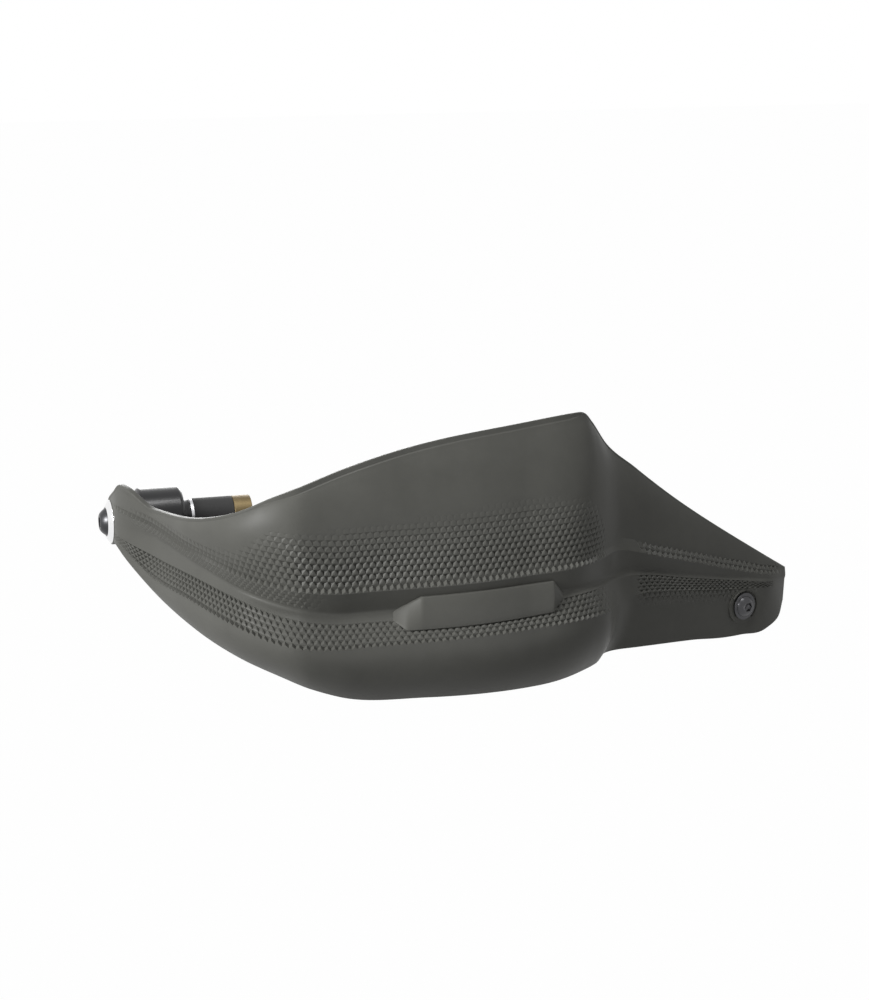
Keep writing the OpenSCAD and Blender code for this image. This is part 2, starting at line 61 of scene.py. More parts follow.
# Sizes in millimetres
wall = 3
band_in = 0.5
band_h = 2.7
pad_out = 1.6
spot_depth = 0.8
spot_margin = 1.3
arm_boss_h = 6
arm_boss_wall = 4.4
seat_proud = 0.1
seat_margin = 0.6
arm_drop = 48
arm_hole_x = 270
weight_len = 22
spacer_len = 9.5
ring_d = 21.2
end_bolt_d = 8
arm_screw_d = 6
arm_flange_d = 13.6
sleeve_wall = 1.4
hole_clear = 0.4
tab_in = weight_len + spacer_len
tab_out = tab_in + wall + 2 * seat_proud
tab_x = -(tab_in + seat_proud + wall)
sleeve_d = arm_screw_d + hole_clear + 2 * sleeve_wall
arm_hole_d = sleeve_d + hole_clear

# Radii of the shell's rounded edges
edge_in_r = 0.7
edge_out_r = 0.8
step_r = 0.15
step_low_r = 0.2
ridge_r = 1.2
ridge_in_r = 2.2
groove_r = 1.6
shelf_r = 1.2
lower_r = 3
corner_most = 0.42
thinnest_turn = 1.2

# The band below the rim: the most of the upper face that it takes, its step's height, how much of its depth the
# rim's edge has too, and how far below the step the face runs straight on
lip_most = 0.3
step_h = 0.55
edge_in_share = 0.4
below_step = 3

# Places along the guard: its end, the arm's start, and the steps that its directions are measured over
guard_end = 44
arm_from = 34.3
face_step = 0.3
run_step = 0.1

# Lines of the shell's outer face: place along the guard, then x, y and z
rim = [[0, tab_x, 10.5, 4.5], [1.2, tab_x, 4, 11.5], [2.2, tab_x, -12, 18.5], [2.8, -33.5, -20, 22.5],
    [3.4, -31.5, -27, 22], [5, -22, -44, 15], [8, -11, -80, 18], [11, 3, -106, 25.5], [14, 20, -117, 34.5],
    [18, 55, -118, 46], [23, 94, -113, 54], [28, 139, -105, 58.5], [30.7, 169, -97.5, 60.5],
    [31.3, 175, -95, 60], [32, 180, -93, 55], [33, 188, -90, 44], [35, 205, -85, 30], [39, 238.5, -75, 5],
    [43, 285, -61, -25], [44, 299.5, -55.5, -34]]
ridge = [[0, tab_x, 10.5, 2.6], [1.2, tab_x, 4, 6], [2.4, tab_x, -11, 9], [5, -22.5, -41, 6],
    [8, -10.5, -76, 0.5], [11, 3.5, -107, -3.5], [14, 19, -121, -7], [18, 52, -128, -10.5],
    [28, 136, -125, -9.5], [31, 170, -117, -8.5], [32, 179.5, -110, -8], [33.2, 191, -99, -7.5],
    [34.2, 200, -95.5, -9], [35, 206, -94, -11], [39, 235.5, -85, -20], [42, 267.5, -72.5, -30],
    [43.4, 288.5, -65, -35.5], [44, 299, -57.5, -37]]
groove = [[0, tab_x, 10.5, 0.9], [1.2, tab_x, 4, 2.5], [2.4, tab_x, -11, 2.5], [5, -20, -39, 0],
    [8, -7.5, -73, -5.5], [11, 6.5, -103, -11], [14, 22, -117, -16], [18, 53, -123, -21.5],
    [28, 137, -121, -20.5], [31, 169.5, -113.5, -20], [32, 180, -106, -20], [33.2, 192, -95.5, -19.5],
    [34.2, 201.5, -91.5, -19], [35, 207.5, -90, -20], [39, 237, -82, -26.5], [42, 268, -71, -33.5],
    [43.4, 288.5, -65, -37], [44, 299, -57.5, -38.5]]
shelf = [[0, tab_x, 10.5, -0.8], [1.2, tab_x, 4, -2.5], [2.4, tab_x, -11, -3], [5, -20.5, -40, -9],
    [8, -8.5, -76, -11], [11, 5.5, -106, -15], [14, 20, -120, -19.5], [18, 52, -126, -25],
    [28, 136, -124, -24], [31, 169.5, -117, -21.5], [32, 179.5, -110, -21.5], [33.2, 191, -99, -21.5],
    [34.2, 201, -94.5, -21.5], [35, 207, -93, -22], [39, 236, -84, -28], [42, 267.5, -72.5, -34.5],
    [43.4, 288.5, -65.5, -38.5], [44, 298.5, -57.5, -40]]
lower = [[0, tab_x, 10.5, -2.6], [1.2, tab_x, 4, -5.5], [2.4, tab_x, -11, -6], [3.4, -31, -23, -10],
    [5, -24.5, -42, -17], [8, -13, -83, -20], [11, 1, -116, -25], [14, 17, -131, -30.5],
    [18, 49, -137, -34], [28, 136, -132, -33.5], [31, 170, -123, -33], [31.9, 180.5, -117, -33],
    [33.2, 192, -101.5, -33.5], [34.2, 201, -95.5, -31.5], [35, 207, -94, -31], [39, 236, -85, -34],
    [42, 267.5, -73, -38.5], [43.4, 288.5, -66, -40.5], [44, 298.5, -57.5, -42]]
hem = [[0, tab_x, 10.5, -4.5], [1.2, tab_x, 4, -8.5], [2.4, tab_x, -11, -8.5], [3.4, -32, -23, -13],
    [5, -24, -44, -23], [8, -10.5, -82, -34], [11, 5, -106, -42.5], [14, 23.5, -117, -50.5],
    [18, 52.5, -123, -61.5], [23, 91, -123, -64.5], [28, 139, -118, -65.5], [31, 168.5, -108.5, -63.5],
    [31.9, 179, -103.5, -61.5], [33.2, 188, -93.5, -59.5], [34.2, 196, -90, -59.5], [35, 206, -89, -59.5],
    [39, 238.5, -80.5, -61], [42.3, 270, -70.5, -63.5], [43.2, 285.5, -65.5, -63], [43.6, 294, -61, -59],
    [44, 298, -57.5, -51]]
lines = [np.array(t, float) for t in (rim, ridge, groove, shelf, lower, hem)]
RIM, RIDGE, GROOVE, SHELF, LOWER, HEM = range(6)

# How far the rim's band is there, how full the two faces are, and the dent above the ridge on the arm
rim_fade = [[0, 0], [13, 0], [15, 1], [30.4, 1], [31.4, 0], [44, 0]]
upper_full = [[0, 0], [3, 0], [8, 2], [14, 3.5], [28, 3.5], [31, 4.5], [33, 3.5], [35, 2], [44, 0]]
lower_full = [[0, 0], [3, 0], [8, 2], [14, 4], [18, 5], [28, 5], [31, 4], [33, 2], [35, 0], [44, 0]]
ledge = [[0, 0], [4, 0], [8, 0.6], [12, 1.2], [31, 1.4], [33, 1.2], [34.6, 2.4], [40, 2.2], [43.4, 1.2],
    [44, 0]]

# The soft upright fold left of the middle, and the shallow hollow right of it
fold = np.array([[0, 0], [12, 0], [14, 0.9], [14.9, 1.9], [15.3, 2.1], [15.9, 1.5], [16.6, 0.55],
    [17.6, -0.35], [19, -1], [21, -1.3], [24, -1], [28, -0.25], [30, 0], [44, 0]])

# Relief of small triangles: pitch, row height, depth of the sunk ones and height of the raised ones, then how
# far it reaches above the ridge and how strong it is along the guard
cell = 3.25
row_h = 2.8
pit = 0.9
peak = 0.22
edge_raised = 2.6
reach_up = [[0, 0], [2.4, 3], [5, 8], [8, 10], [11, 14], [13, 28], [14, 35], [18, 39], [22, 41], [26, 45],
    [29, 46], [31, 42], [32, 28], [33, 8], [44, 8]]
upper_gain = [[0, 0], [2, 0], [4, 1.2], [14, 1.1], [16, 1], [31.5, 1], [32.6, 0], [34.6, 0], [35.4, 1],
    [43.4, 1], [43.8, 0]]
slope_gain = [[0, 0], [3, 0], [6, 0.8], [14, 0.8], [16, 0.2], [20, 0], [31, 0], [32, 0], [44, 0]]
crease_rows = [[0, 1], [33, 1], [34, 2], [44, 2]]
band_gain = [[0, 0], [2, 0], [4, 1.25], [14, 1.2], [16, 1], [31, 1], [32.6, 0], [34.4, 0], [35, 1], [43, 1],
    [43.5, 0]]
under_gain = [[0, 0], [34.4, 0], [35.2, 1], [42, 1], [43.2, 0], [44, 0]]
least_gain = 0.03
fade_slope = 1.25

# Rows of the mesh, and how they are spaced
plain_rows = 9
top_rows = 17
arm_rows = 2
slope_rows = 4
band_rows = 5
under_rows = 4
crease_most = 0.45
packed_from = 0.55
packed_to = 0.95
under_pitch = 0.9
under_most = 0.15
under_fade = 0.6
hem_from = 0.985


def tangents(table):
    """Slopes at the rows of a table, level where its values turn."""
    steps = np.diff(table[:, :1], axis=0)
    slopes = np.diff(table[:, 1:], axis=0) / steps
    a, b, p, q = steps[:-1], steps[1:], slopes[:-1], slopes[1:]
    middle = np.where(p * q <= 0, 0, (p * b + q * a) / (a + b))
    return np.vstack([slopes[:1], middle, slopes[-1:]])


def curve(table, u):
    """Values of the table at the places u along the guard, with no overshoot between its rows."""
    slopes = tangents(table)
    i = np.clip(np.searchsorted(table[:, 0], u, side="left") - 1, 0, len(table) - 2)
    step = (table[i + 1, 0] - table[i, 0])[:, None]
    f = (u - table[i, 0])[:, None] / step
    p, q, m, n = table[i, 1:], table[i + 1, 1:], slopes[i] * step, slopes[i + 1] * step
    return ((2 * f**3 - 3 * f**2 + 1) * p + (f**3 - 2 * f**2 + f) * m + (3 * f**2 - 2 * f**3) * q
        + (f**3 - f**2) * n)


def at(k, u):
    """Points of line k at the places u along the guard."""
    return curve(lines[k], u)


def length(v):
    return np.linalg.norm(v, axis=-1, keepdims=True)


def unit(v):
    return v / np.maximum(length(v), 1e-9)


def ramp(u, table):
    """Values of a table of two columns, straight between its rows."""
    return np.interp(u, [r[0] for r in table], [r[1] for r in table])


def smooth(x):
    x = np.clip(x, 0, 1)
    return x * x * (3 - 2 * x)


def ahead(u):
    """Level direction straight out of the guard's face."""
    a = at(RIDGE, u - face_step) + at(LOWER, u - face_step)
    b = at(RIDGE, u + face_step) + at(LOWER, u + face_step)
    return unit(np.stack([b[:, 1] - a[:, 1], a[:, 0] - b[:, 0], 0 * u], -1))


def outer_net(u):
    """The six lines of the outer face, with the fold."""
    return [at(k, u) + ahead(u) * curve(fold, u) for k in range(len(lines))]


def inner_net(u):
    """The six lines of the inner face, one wall behind the outer ones."""
    inside = np.clip(u, run_step, guard_end - run_step)
    net = outer_net(u)
    run = [unit(at(k, inside + run_step) - at(k, inside - run_step)) for k in range(len(lines))]
    whole = 2 * unit(net[HEM] - net[RIM])
    side = [unit(np.cross(run[k] + run[k + 1], net[k + 1] - net[k] + whole)) for k in range(HEM)]
    moved = []
    for k in range(len(lines)):
        a, b = side[max(k - 1, 0)], side[min(k, HEM - 1)]
        moved.append(net[k] + (a + b) * wall / np.maximum(1 + np.sum(a * b, -1, keepdims=True), thinnest_turn))
    return moved


def corner(a, b, c, r, n):
    """n + 1 rows round the corner at b, from r before it to r after it."""
    s = b + unit(a - b) * np.minimum(r, corner_most * length(b - a))
    e = b + unit(c - b) * np.minimum(r, corner_most * length(c - b))
    return [(1 - t) ** 2 * s + 2 * t * (1 - t) * b + t * t * e for t in np.arange(n + 1) / n]


class Skin:
    """Rows of points along the guard, sewn into a mesh."""

    def __init__(self):
        self.points = []
        self.faces = []

    def add(self, points):
        first = len(self.points)
        self.points.extend(points)
        return list(range(first, first + len(points)))

    def row(self, points, columns):
        return (list(columns), self.add([points[c] for c in columns]))

    def sew(self, above, below, gain=None, raised=1):
        """Faces between two rows. With a gain per column, the triangles that hang from the upper row are
        sunk and the others raised, each to a point in its middle."""
        (ca, ia), (cb, ib) = above, below
        if gain is None and ca == cb:
            for k in range(len(ca) - 1):
                self.faces.append((ia[k], ib[k], ib[k + 1], ia[k + 1]))
            return
        i = j = 0
        while i < len(ca) - 1 or j < len(cb) - 1:
            hangs = j == len(cb) - 1 or (i < len(ca) - 1 and ca[i + 1] <= cb[j + 1])
            if hangs:
                tri = (ia[i], ib[j], ia[i + 1])
                middle = (ca[i] + cb[j] + ca[i + 1]) / 3
                i += 1
            else:
                tri = (ia[i], ib[j], ib[j + 1])
                middle = (ca[i] + cb[j] + cb[j + 1]) / 3
                j += 1
            share = 0 if gain is None else gain[int(round(middle))]
            if share < least_gain:
                self.faces.append(tri)
                continue
            a, b, c = (self.points[k] for k in tri)
            lift = -pit * share if hangs else peak * raised * share
            tip = self.add([(a + b + c) / 3 + unit(np.cross(b - a, c - a)) * lift])[0]
            for k in range(3):
                self.faces.append((tri[k], tri[(k + 1) % 3], tip))


# Columns half a cell apart along the guard
fine = np.linspace(0, guard_end, 4401)
path = (at(RIDGE, fine) + at(LOWER, fine)) / 2
distance = np.concatenate([[0], np.cumsum(np.linalg.norm(np.diff(path, axis=0), axis=1))])
half_cells = 2 * int(round(distance[-1] / cell))
u = np.interp(np.linspace(0, distance[-1], half_cells + 1), distance, fine)
every = list(range(half_cells + 1))
even = list(range(0, half_cells + 1, 2))
odd = [0] + list(range(1, half_cells, 2)) + [half_cells]


def staggered(k):
    """Columns of row k of the relief: every second row lies half a cell along."""
    return even if k % 2 == 0 else odd


outer = outer_net(u)
inner = inner_net(u)
facing = ahead(u)
down = unit(outer[RIDGE] - outer[RIM])
rim_share = ramp(u, rim_fade)[:, None]
lip = np.minimum(band_h * (0.5 + 0.5 * rim_share), lip_most * length(outer[RIDGE] - outer[RIM]))
up_full = ramp(u, upper_full)[:, None]
low_full = ramp(u, lower_full)[:, None]

# The top rim: inner edge, outer edge, and the shallow band below it with its step
top = outer[RIM] + down * (lip + step_h * rim_share)
edge_out = outer[RIM] - facing * rim_share * band_in * edge_in_share
edge_low = outer[RIM] + down * lip - facing * rim_share * band_in
rows = corner(inner[RIDGE], inner[RIM], edge_out, edge_in_r, 3)
rows += corner(inner[RIM], edge_out, edge_low, edge_out_r, 4)
rows += corner(edge_out, edge_low, top, step_r, 2)
rows += corner(edge_low, top, outer[RIM] + down * (lip + below_step), step_low_r, 2)
skin = Skin()
sewn = [skin.row(r, every) for r in rows]
rim_start = sewn[0]

# The upper face, smooth above and with relief towards the ridge
ridge_top = corner(outer[RIM], outer[RIDGE], outer[GROOVE], ridge_r, 2)[1]
up_len = length(ridge_top - top)[:, 0]
crease = 1 - np.minimum(ramp(u, crease_rows) * row_h / up_len, crease_most)[:, None]
dents = ramp(u, ledge)[:, None]


def upper_at(t):
    """The upper face at the share t of its height, drawn in just above the ridge on the arm."""
    dent = np.minimum(t / crease, (1 - t) / (1 - crease))
    return top + (ridge_top - top) * t + facing * (up_full * 4 * t * (1 - t) * (1.5 - t) - dent * dents)


def up_share(height):
    """Share of the face's height at a height above the ridge, packed closer near the rim."""
    t = height / up_len
    left = packed_to - packed_from
    return np.where(t < packed_from, t, packed_from + left * (1 - np.exp(-(t - packed_from) / left)))


above = [up_share(k * row_h) for k in range(top_rows + 1)]
for s in np.linspace(0, 1, plain_rows)[1:-1]:
    sewn.append(skin.row(upper_at((1 - above[top_rows])[:, None] * s), every))
sewn.append(skin.row(upper_at((1 - above[top_rows])[:, None]), even))
for a, b in zip(sewn, sewn[1:]):
    skin.sew(a, b)
last = sewn[-1]
for k in range(top_rows - 1, -1, -1):
    row = skin.row(upper_at((1 - above[k])[:, None]), staggered(k))
    full_gain = ramp(u, upper_gain)
    fading = smooth(fade_slope * (1 - (k + 0.5) * row_h / np.maximum(ramp(u, reach_up), 0.5)))
    skin.sew(last, row, full_gain * np.where(u < arm_from, fading, k < arm_rows), edge_raised if k == 0 else 1)
    last = row

# From the ridge down to the groove
groove_turn = corner(outer[RIDGE], outer[GROOVE], outer[SHELF], groove_r, 5)
for k in range(1, slope_rows + 1):
    row = skin.row(ridge_top + (groove_turn[0] - ridge_top) * k / slope_rows, staggered(k))
    skin.sew(last, row, ramp(u, slope_gain))
    last = row
shelf_turn = corner(outer[GROOVE], outer[SHELF], outer[LOWER], shelf_r, 2)
for r in groove_turn[1:] + [groove_turn[-1] * 0.5 + shelf_turn[0] * 0.5, shelf_turn[0]]:
    row = skin.row(r, every)
    skin.sew(last, row)
    last = row

# The band with relief between the shelf's edge and the lower ridge
lower_top = corner(outer[SHELF], outer[LOWER], outer[HEM], lower_r, 2)[1]
for k in range(band_rows + 1):
    row = skin.row(shelf_turn[1] + (lower_top - shelf_turn[1]) * k / band_rows, staggered(k))
    skin.sew(last, row, None if k == 0 else ramp(u, band_gain), edge_raised if k == band_rows else 1)
    last = row


def face_at(a, b, full, t):
    """A face between two lines at the share t of its height, bulged out in the middle."""
    return a + (b - a) * t + facing * full * 4 * t * (1 - t)


def under_share(k):
    """Share of the lower face's height at its row k of relief."""
    return np.minimum(k * row_h * under_pitch / length(outer[HEM] - lower_top), under_most * k)


# Below it, fading relief on the arm, then the smooth lower face and the hem
for k in range(1, under_rows + 1):
    row = skin.row(face_at(lower_top, outer[HEM], low_full, under_share(k)), staggered(band_rows + k))
    skin.sew(last, row, ramp(u, under_gain) * (1 - (k - under_fade) / under_rows))
    last = row
start = under_share(under_rows)
spaced = np.linspace(0, 1, 10)[1:]
rows = [face_at(lower_top, outer[HEM], low_full, start + (hem_from - start) * s) for s in spaced]
rows += corner(rows[-1], outer[HEM], inner[HEM], edge_out_r, 4)
rows += corner(outer[HEM], inner[HEM], inner[LOWER], edge_in_r, 3)

# The inner face, back up to the rim
rows += [face_at(inner[LOWER], inner[HEM], low_full, t) for t in (0.8, 0.6, 0.4, 0.2)]
rows += corner(inner[HEM], inner[LOWER], inner[SHELF], lower_r, 4)
rows += corner(inner[LOWER], inner[SHELF], inner[GROOVE], shelf_r, 3)
rows += corner(inner[SHELF], inner[GROOVE], inner[RIDGE], groove_r, 3)
rows += corner(inner[GROOVE], inner[RIDGE], inner[RIM], ridge_in_r, 4)
rows += [face_at(inner[RIM], inner[RIDGE], up_full, t) for t in (0.85, 0.7, 0.55, 0.4, 0.25, 0.1)]
for r in rows:
    row = skin.row(r, every)
    skin.sew(last, row)
    last = row
skin.sew(last, rim_start)


def mesh_object(name, points, faces, material, sharp=None, scale=MM):
    """An object of the points and faces, smooth but for edges sharper than the angle."""
    mesh = bpy.data.meshes.new(name)
    mesh.from_pydata([tuple(x * scale for x in v) for v in points], [], [tuple(f) for f in faces])
    mesh.validate()
    mesh.polygons.foreach_set("use_smooth", [True] * len(mesh.polygons))
    if sharp is not None:
        mesh.set_sharp_from_angle(angle=math.radians(sharp))
    mesh.update()
    mesh.materials.append(material)
    piece = bpy.data.objects.new(name, mesh)
    bpy.context.scene.collection.objects.link(piece)
    return piece


def shell_piece(name, points, faces, sharp):
    """A piece that stands for part of the moulded shell."""
    piece = mesh_object(name, points, faces, surfaces["shell_plastic"], sharp)
    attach(piece, "root")
    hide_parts("guard_shell")


# Surfaces: slow changes of colour and roughness over a fine grain
noise_low = 0.3
noise_high = 0.7
slow_scale = 60.0
surfaces = {}


def new_material(name):
    material = bpy.data.materials.new(name)
    material.use_nodes = True
    return material, material.node_tree, material.node_tree.nodes["Principled BSDF"]


def noise(tree, coords, scale, detail, rough):
    node = tree.nodes.new("ShaderNodeTexNoise")
    node.inputs["Scale"].default_value = scale
    node.inputs["Detail"].default_value = detail
    node.inputs["Roughness"].default_value = rough
    tree.links.new(coords, node.inputs["Vector"])
    return node.outputs["Fac"]


def span(tree, value, low, high):
    """The noise value spread over a range."""
    node = tree.nodes.new("ShaderNodeMapRange")
    node.inputs["From Min"].default_value = noise_low
    node.inputs["From Max"].default_value = noise_high
    node.inputs["To Min"].default_value = low
    node.inputs["To Max"].default_value = high
    tree.links.new(value, node.inputs["Value"])
    return node.outputs["Result"]


def tint(tree, value, dark, light):
    """The noise value as a colour between two."""
    node = tree.nodes.new("ShaderNodeValToRGB")
    for element, position, colour in zip(node.color_ramp.elements, (noise_low, noise_high), (dark, light)):
        element.position = position
        element.color = (*colour, 1)
    tree.links.new(value, node.inputs["Fac"])
    return node.outputs["Color"]


def bump(tree, height, depth):
    node = tree.nodes.new("ShaderNodeBump")
    node.inputs["Strength"].default_value = 0.5
    node.inputs["Distance"].default_value = depth
    tree.links.new(height, node.inputs["Height"])
    return node.outputs["Normal"]


def add_surface(name, dark, light, rough, grain, depth, metal=0.0, specular=0.5, coat=0.0):
    """A named surface. The grain's depth is in millimetres."""
    surfaces[name], tree, shader = new_material(name)
    coords = tree.nodes.new("ShaderNodeTexCoord").outputs["Object"]
    slow = noise(tree, coords, slow_scale, 4.0, 0.6)
    fast = noise(tree, coords, grain, 2.0, 0.5)
    tree.links.new(tint(tree, slow, dark, light), shader.inputs["Base Color"])
    tree.links.new(span(tree, slow, rough * 0.92, rough * 1.08), shader.inputs["Roughness"])
    tree.links.new(bump(tree, fast, depth * MM), shader.inputs["Normal"])
    shader.inputs["Metallic"].default_value = metal
    shader.inputs["Specular IOR Level"].default_value = specular
    shader.inputs["Coat Weight"].default_value = coat


add_surface("shell_plastic", (0.088, 0.088, 0.08), (0.1, 0.1, 0.091), 0.44, 2200, 0.04, specular=0.15)
add_surface("bright_aluminium", (0.84, 0.84, 0.85), (0.9, 0.9, 0.9), 0.16, 900, 0.004, metal=1)
add_surface("black_steel", (0.045, 0.045, 0.048), (0.07, 0.07, 0.073), 0.33, 1500, 0.012, metal=0.85)
add_surface("black_alloy", (0.014, 0.014, 0.015), (0.02, 0.02, 0.021), 0.42, 2600, 0.018, metal=0.2)
add_surface("weight_black", (0.008, 0.008, 0.009), (0.012, 0.012, 0.013), 0.3, 700, 0.006, specular=0.35,
    coat=0.06)
add_surface("zinc_steel", (0.5, 0.51, 0.53), (0.6, 0.6, 0.61), 0.3, 1200, 0.01, metal=1)
add_surface("rubber", (0.016, 0.016, 0.016), (0.024, 0.024, 0.024), 0.72, 1800, 0.03)
add_surface("brass", (0.13, 0.098, 0.05), (0.17, 0.13, 0.07), 0.5, 1000, 0.01, metal=1)
add_surface("bracket_paint", (0.014, 0.014, 0.014), (0.022, 0.022, 0.022), 0.48, 1300, 0.04)
add_surface("liner_plastic", (0.035, 0.035, 0.036), (0.05, 0.05, 0.05), 0.5, 1800, 0.02)

# Frames of the round parts: local +Z out of the bar end, and out of the arm's face
at_bar_end = Matrix(((0, 0, -1, 0), (0, 1, 0, 0), (1, 0, 0, 0), (0, 0, 0, 1)))
arm_a, arm_b = at(LOWER, np.array([39, 43]))
arm_yaw = math.atan2(arm_b[1] - arm_a[1], arm_b[0] - arm_a[0])
arm_seat = Vector((arm_hole_x, arm_a[1] + (arm_hole_x - arm_a[0]) * math.tan(arm_yaw), -arm_drop))
at_arm = Matrix.Translation(arm_seat) @ Matrix.Rotation(arm_yaw, 4, "Z") @ Matrix.Rotation(math.pi / 2, 4, "X")


def turned(profile, place, segments=96):
    """Points and faces of a closed profile of (radius, height) turned round local Z."""
    points, faces = [], []
    m = len(profile)
    for k in range(segments):
        a = 2 * math.pi * k / segments
        points += [place @ Vector((r * math.cos(a), r * math.sin(a), h)) for r, h in profile]
        here, onward = k * m, (k + 1) % segments * m
        faces += [(here + i, onward + i, onward + (i + 1) % m, here + (i + 1) % m) for i in range(m)]
    return points, faces


def open_edges(faces):
    """Edges that only one face has, as pairs of points in that face's order."""
    edges = {}
    for face in faces:
        for a, b in zip(face, face[1:] + face[:1]):
            if (b, a) in edges:
                del edges[(b, a)]
            else:
                edges[(a, b)] = True
    return list(edges)


def chain(follow):
    """The one closed loop that a dict of point to next point makes."""
    loop = [next(iter(follow))]
    for _ in follow:
        if follow[loop[-1]] == loop[0]:
            return loop
        loop.append(follow[loop[-1]])
    raise ValueError(f"the edge is not one loop: {len(follow)} edges")


# The recess round the arm screw: faces near it are cut out and a round seat is sewn in
spot_r = arm_flange_d / 2 + spot_margin
cut_r = spot_r + 0.9
cut_low, cut_high = -1.6, 6
from_arm = at_arm.inverted()
into_arm = at_arm.to_3x3() @ Vector((0, 0, -1))
flat = np.array([from_arm @ Vector(v) for v in skin.points])
near = (np.hypot(flat[:, 0], flat[:, 1]) < cut_r) & (flat[:, 2] > cut_low) & (flat[:, 2] < cut_high)
whole_face = BVHTree.FromPolygons([Vector(v) for v in skin.points], skin.faces)
cut = [f for f in skin.faces if any(near[k] for k in f)]
skin.faces = [f for f in skin.faces if not any(near[k] for k in f)]
loop = chain(dict(open_edges(cut)))
angles = [math.atan2(flat[k, 1], flat[k, 0]) for k in loop]


def seat_ring(radius, height=None):
    """A ring of points round the screw, on the arm's face or at a height above its plane."""
    ring = []
    for a in angles:
        x, y = radius * math.cos(a), radius * math.sin(a)
        place = at_arm @ Vector((x, y, height or 0))
        if height is None:
            above_arm = at_arm @ Vector((x, y, cut_high))
            place = whole_face.ray_cast(above_arm, into_arm)[0] or place
        ring.append(np.array(place))
    return skin.add(ring)


# The seat's rings from the arm's face down to its floor: radius and height
seat_rings = ((spot_r + 0.5, None), (spot_r + 0.25, None), (spot_r, -0.22), (spot_r, -spot_depth + 0.2),
    (spot_r - 0.2, -spot_depth), (arm_screw_d / 2 + 0.2, -spot_depth))
rings = [loop] + [seat_ring(radius, height) for radius, height in seat_rings]
for a, b in zip(rings, rings[1:]):
    for k in range(len(a)):
        onward = (k + 1) % len(a)
        skin.faces.append((a[k], a[onward], b[onward], b[k]))

# Ends of the shell
middle_x = 100
ends = open_edges(skin.faces)
for left in (True, False):
    skin.faces.append(tuple(chain({b: a for a, b in ends if (skin.points[a][0] < middle_x) == left})))
shell_piece("guard_shell_skin", skin.points, skin.faces, sharp=17)

# The blank pad on the front: it rises from the ledge on its left and ends in a slanted facet on its right
pad_from, pad_full, pad_to, pad_ledge_to, pad_head_to = 20.6, 22.25, 29.25, 29.8, 29.85
pad_spread = 0.8
pad_sunk = 4
pad_bulge = 2.4
pad_edge_r = 0.6
pad_head_share = 0.62
pad_proud = 0.2
pad_foot_share = 0.45
pad_foot_rise = 0.35
pad_lift = 0.1
ledge_share = 0.3
pad_turn = ((0.3, 0.05), (0.5, 0.25))
slant_in = 0.3
pad_u = np.concatenate([np.linspace(pad_from, pad_full, 16)[:-1], np.linspace(pad_full, pad_to, 60)])
out = ahead(pad_u)
net = outer_net(pad_u)
rise = np.clip((pad_u - pad_from) / (pad_full - pad_from), 0, 1)[:, None]
spread = np.clip((pad_u - pad_from) / pad_spread, 0, 1)[:, None]
head = net[GROOVE] + ((net[RIDGE] - net[GROOVE]) * pad_head_share + out * (pad_out + pad_proud)) * rise
foot = net[SHELF] + (net[LOWER] - net[SHELF]) * pad_foot_share * spread
foot += out * (pad_foot_rise * rise + pad_lift)
head_root, foot_root = head - out * pad_sunk, foot - out * pad_sunk
rows = [head_root] + corner(head_root, head, foot, pad_edge_r, 4)[1:]
rows += [head + (foot - head) * t + out * rise * pad_bulge * t * (1 - t) for t in np.linspace(0, 1, 12)[1:-1]]
rows += corner(head, foot, foot_root, pad_edge_r, 4)[:-1] + [foot_root]

# Its right-hand end: rounded over, then a facet down to a slanted line
end_net = outer_net(np.array([pad_to, pad_ledge_to, pad_head_to]))
end_foot = end_net[SHELF][0] + (end_net[LOWER][0] - end_net[SHELF][0]) * pad_foot_share
end_ledge, end_head = end_net[SHELF][1], end_net[GROOVE][2]
pad = Skin()
for k, r in enumerate(rows):
    along = unit(r[-1] - r[-2])
    s = k / (len(rows) - 1)
    slant = end_head + (end_ledge - end_head) * s / ledge_share
    if s >= ledge_share:
        slant = end_ledge + (end_foot - end_ledge) * (s - ledge_share) / (1 - ledge_share)
    slant = slant - out[-1] * slant_in
    turn = [r[-1] + along * onward - out[-1] * inward for onward, inward in pad_turn]
    if k in (0, len(rows) - 1):
        turn = [r[-1], r[-1]]
    row = pad.row(np.vstack([r, turn, [slant, slant - out[-1] * (pad_sunk - 1)]]), range(len(r) + 4))
    if k > 0:
        pad.sew(last, row)
    last = row
shell_piece("front_pad", pad.points, pad.faces, sharp=50)

# Camera at the photograph's viewpoint
camera_place = (-0.23009, -1.17927, 0.28431)
azimuth, elevation = math.radians(-17), math.radians(13)


def direction(turn, rise):
    """Unit direction from the object at an azimuth from its front and an elevation."""
    return Vector((math.sin(turn) * math.cos(rise), -math.cos(turn) * math.cos(rise), math.sin(rise)))


right = Vector((math.cos(azimuth), math.sin(azimuth), 0))
back = direction(azimuth, elevation)
up = back.cross(right)
camera_data = bpy.data.cameras.new("camera")
camera_data.lens = 90
camera_data.sensor_width = 36
camera_data.clip_start = 0.05
camera_data.clip_end = 50
camera = bpy.data.objects.new("camera", camera_data)
turned_to = Matrix((right, up, back)).transposed().to_4x4()
camera.matrix_world = Matrix.Translation(camera_place) @ turned_to
bpy.context.scene.collection.objects.link(camera)
bpy.context.scene.camera = camera
bpy.context.scene.view_settings.view_transform = "Standard"

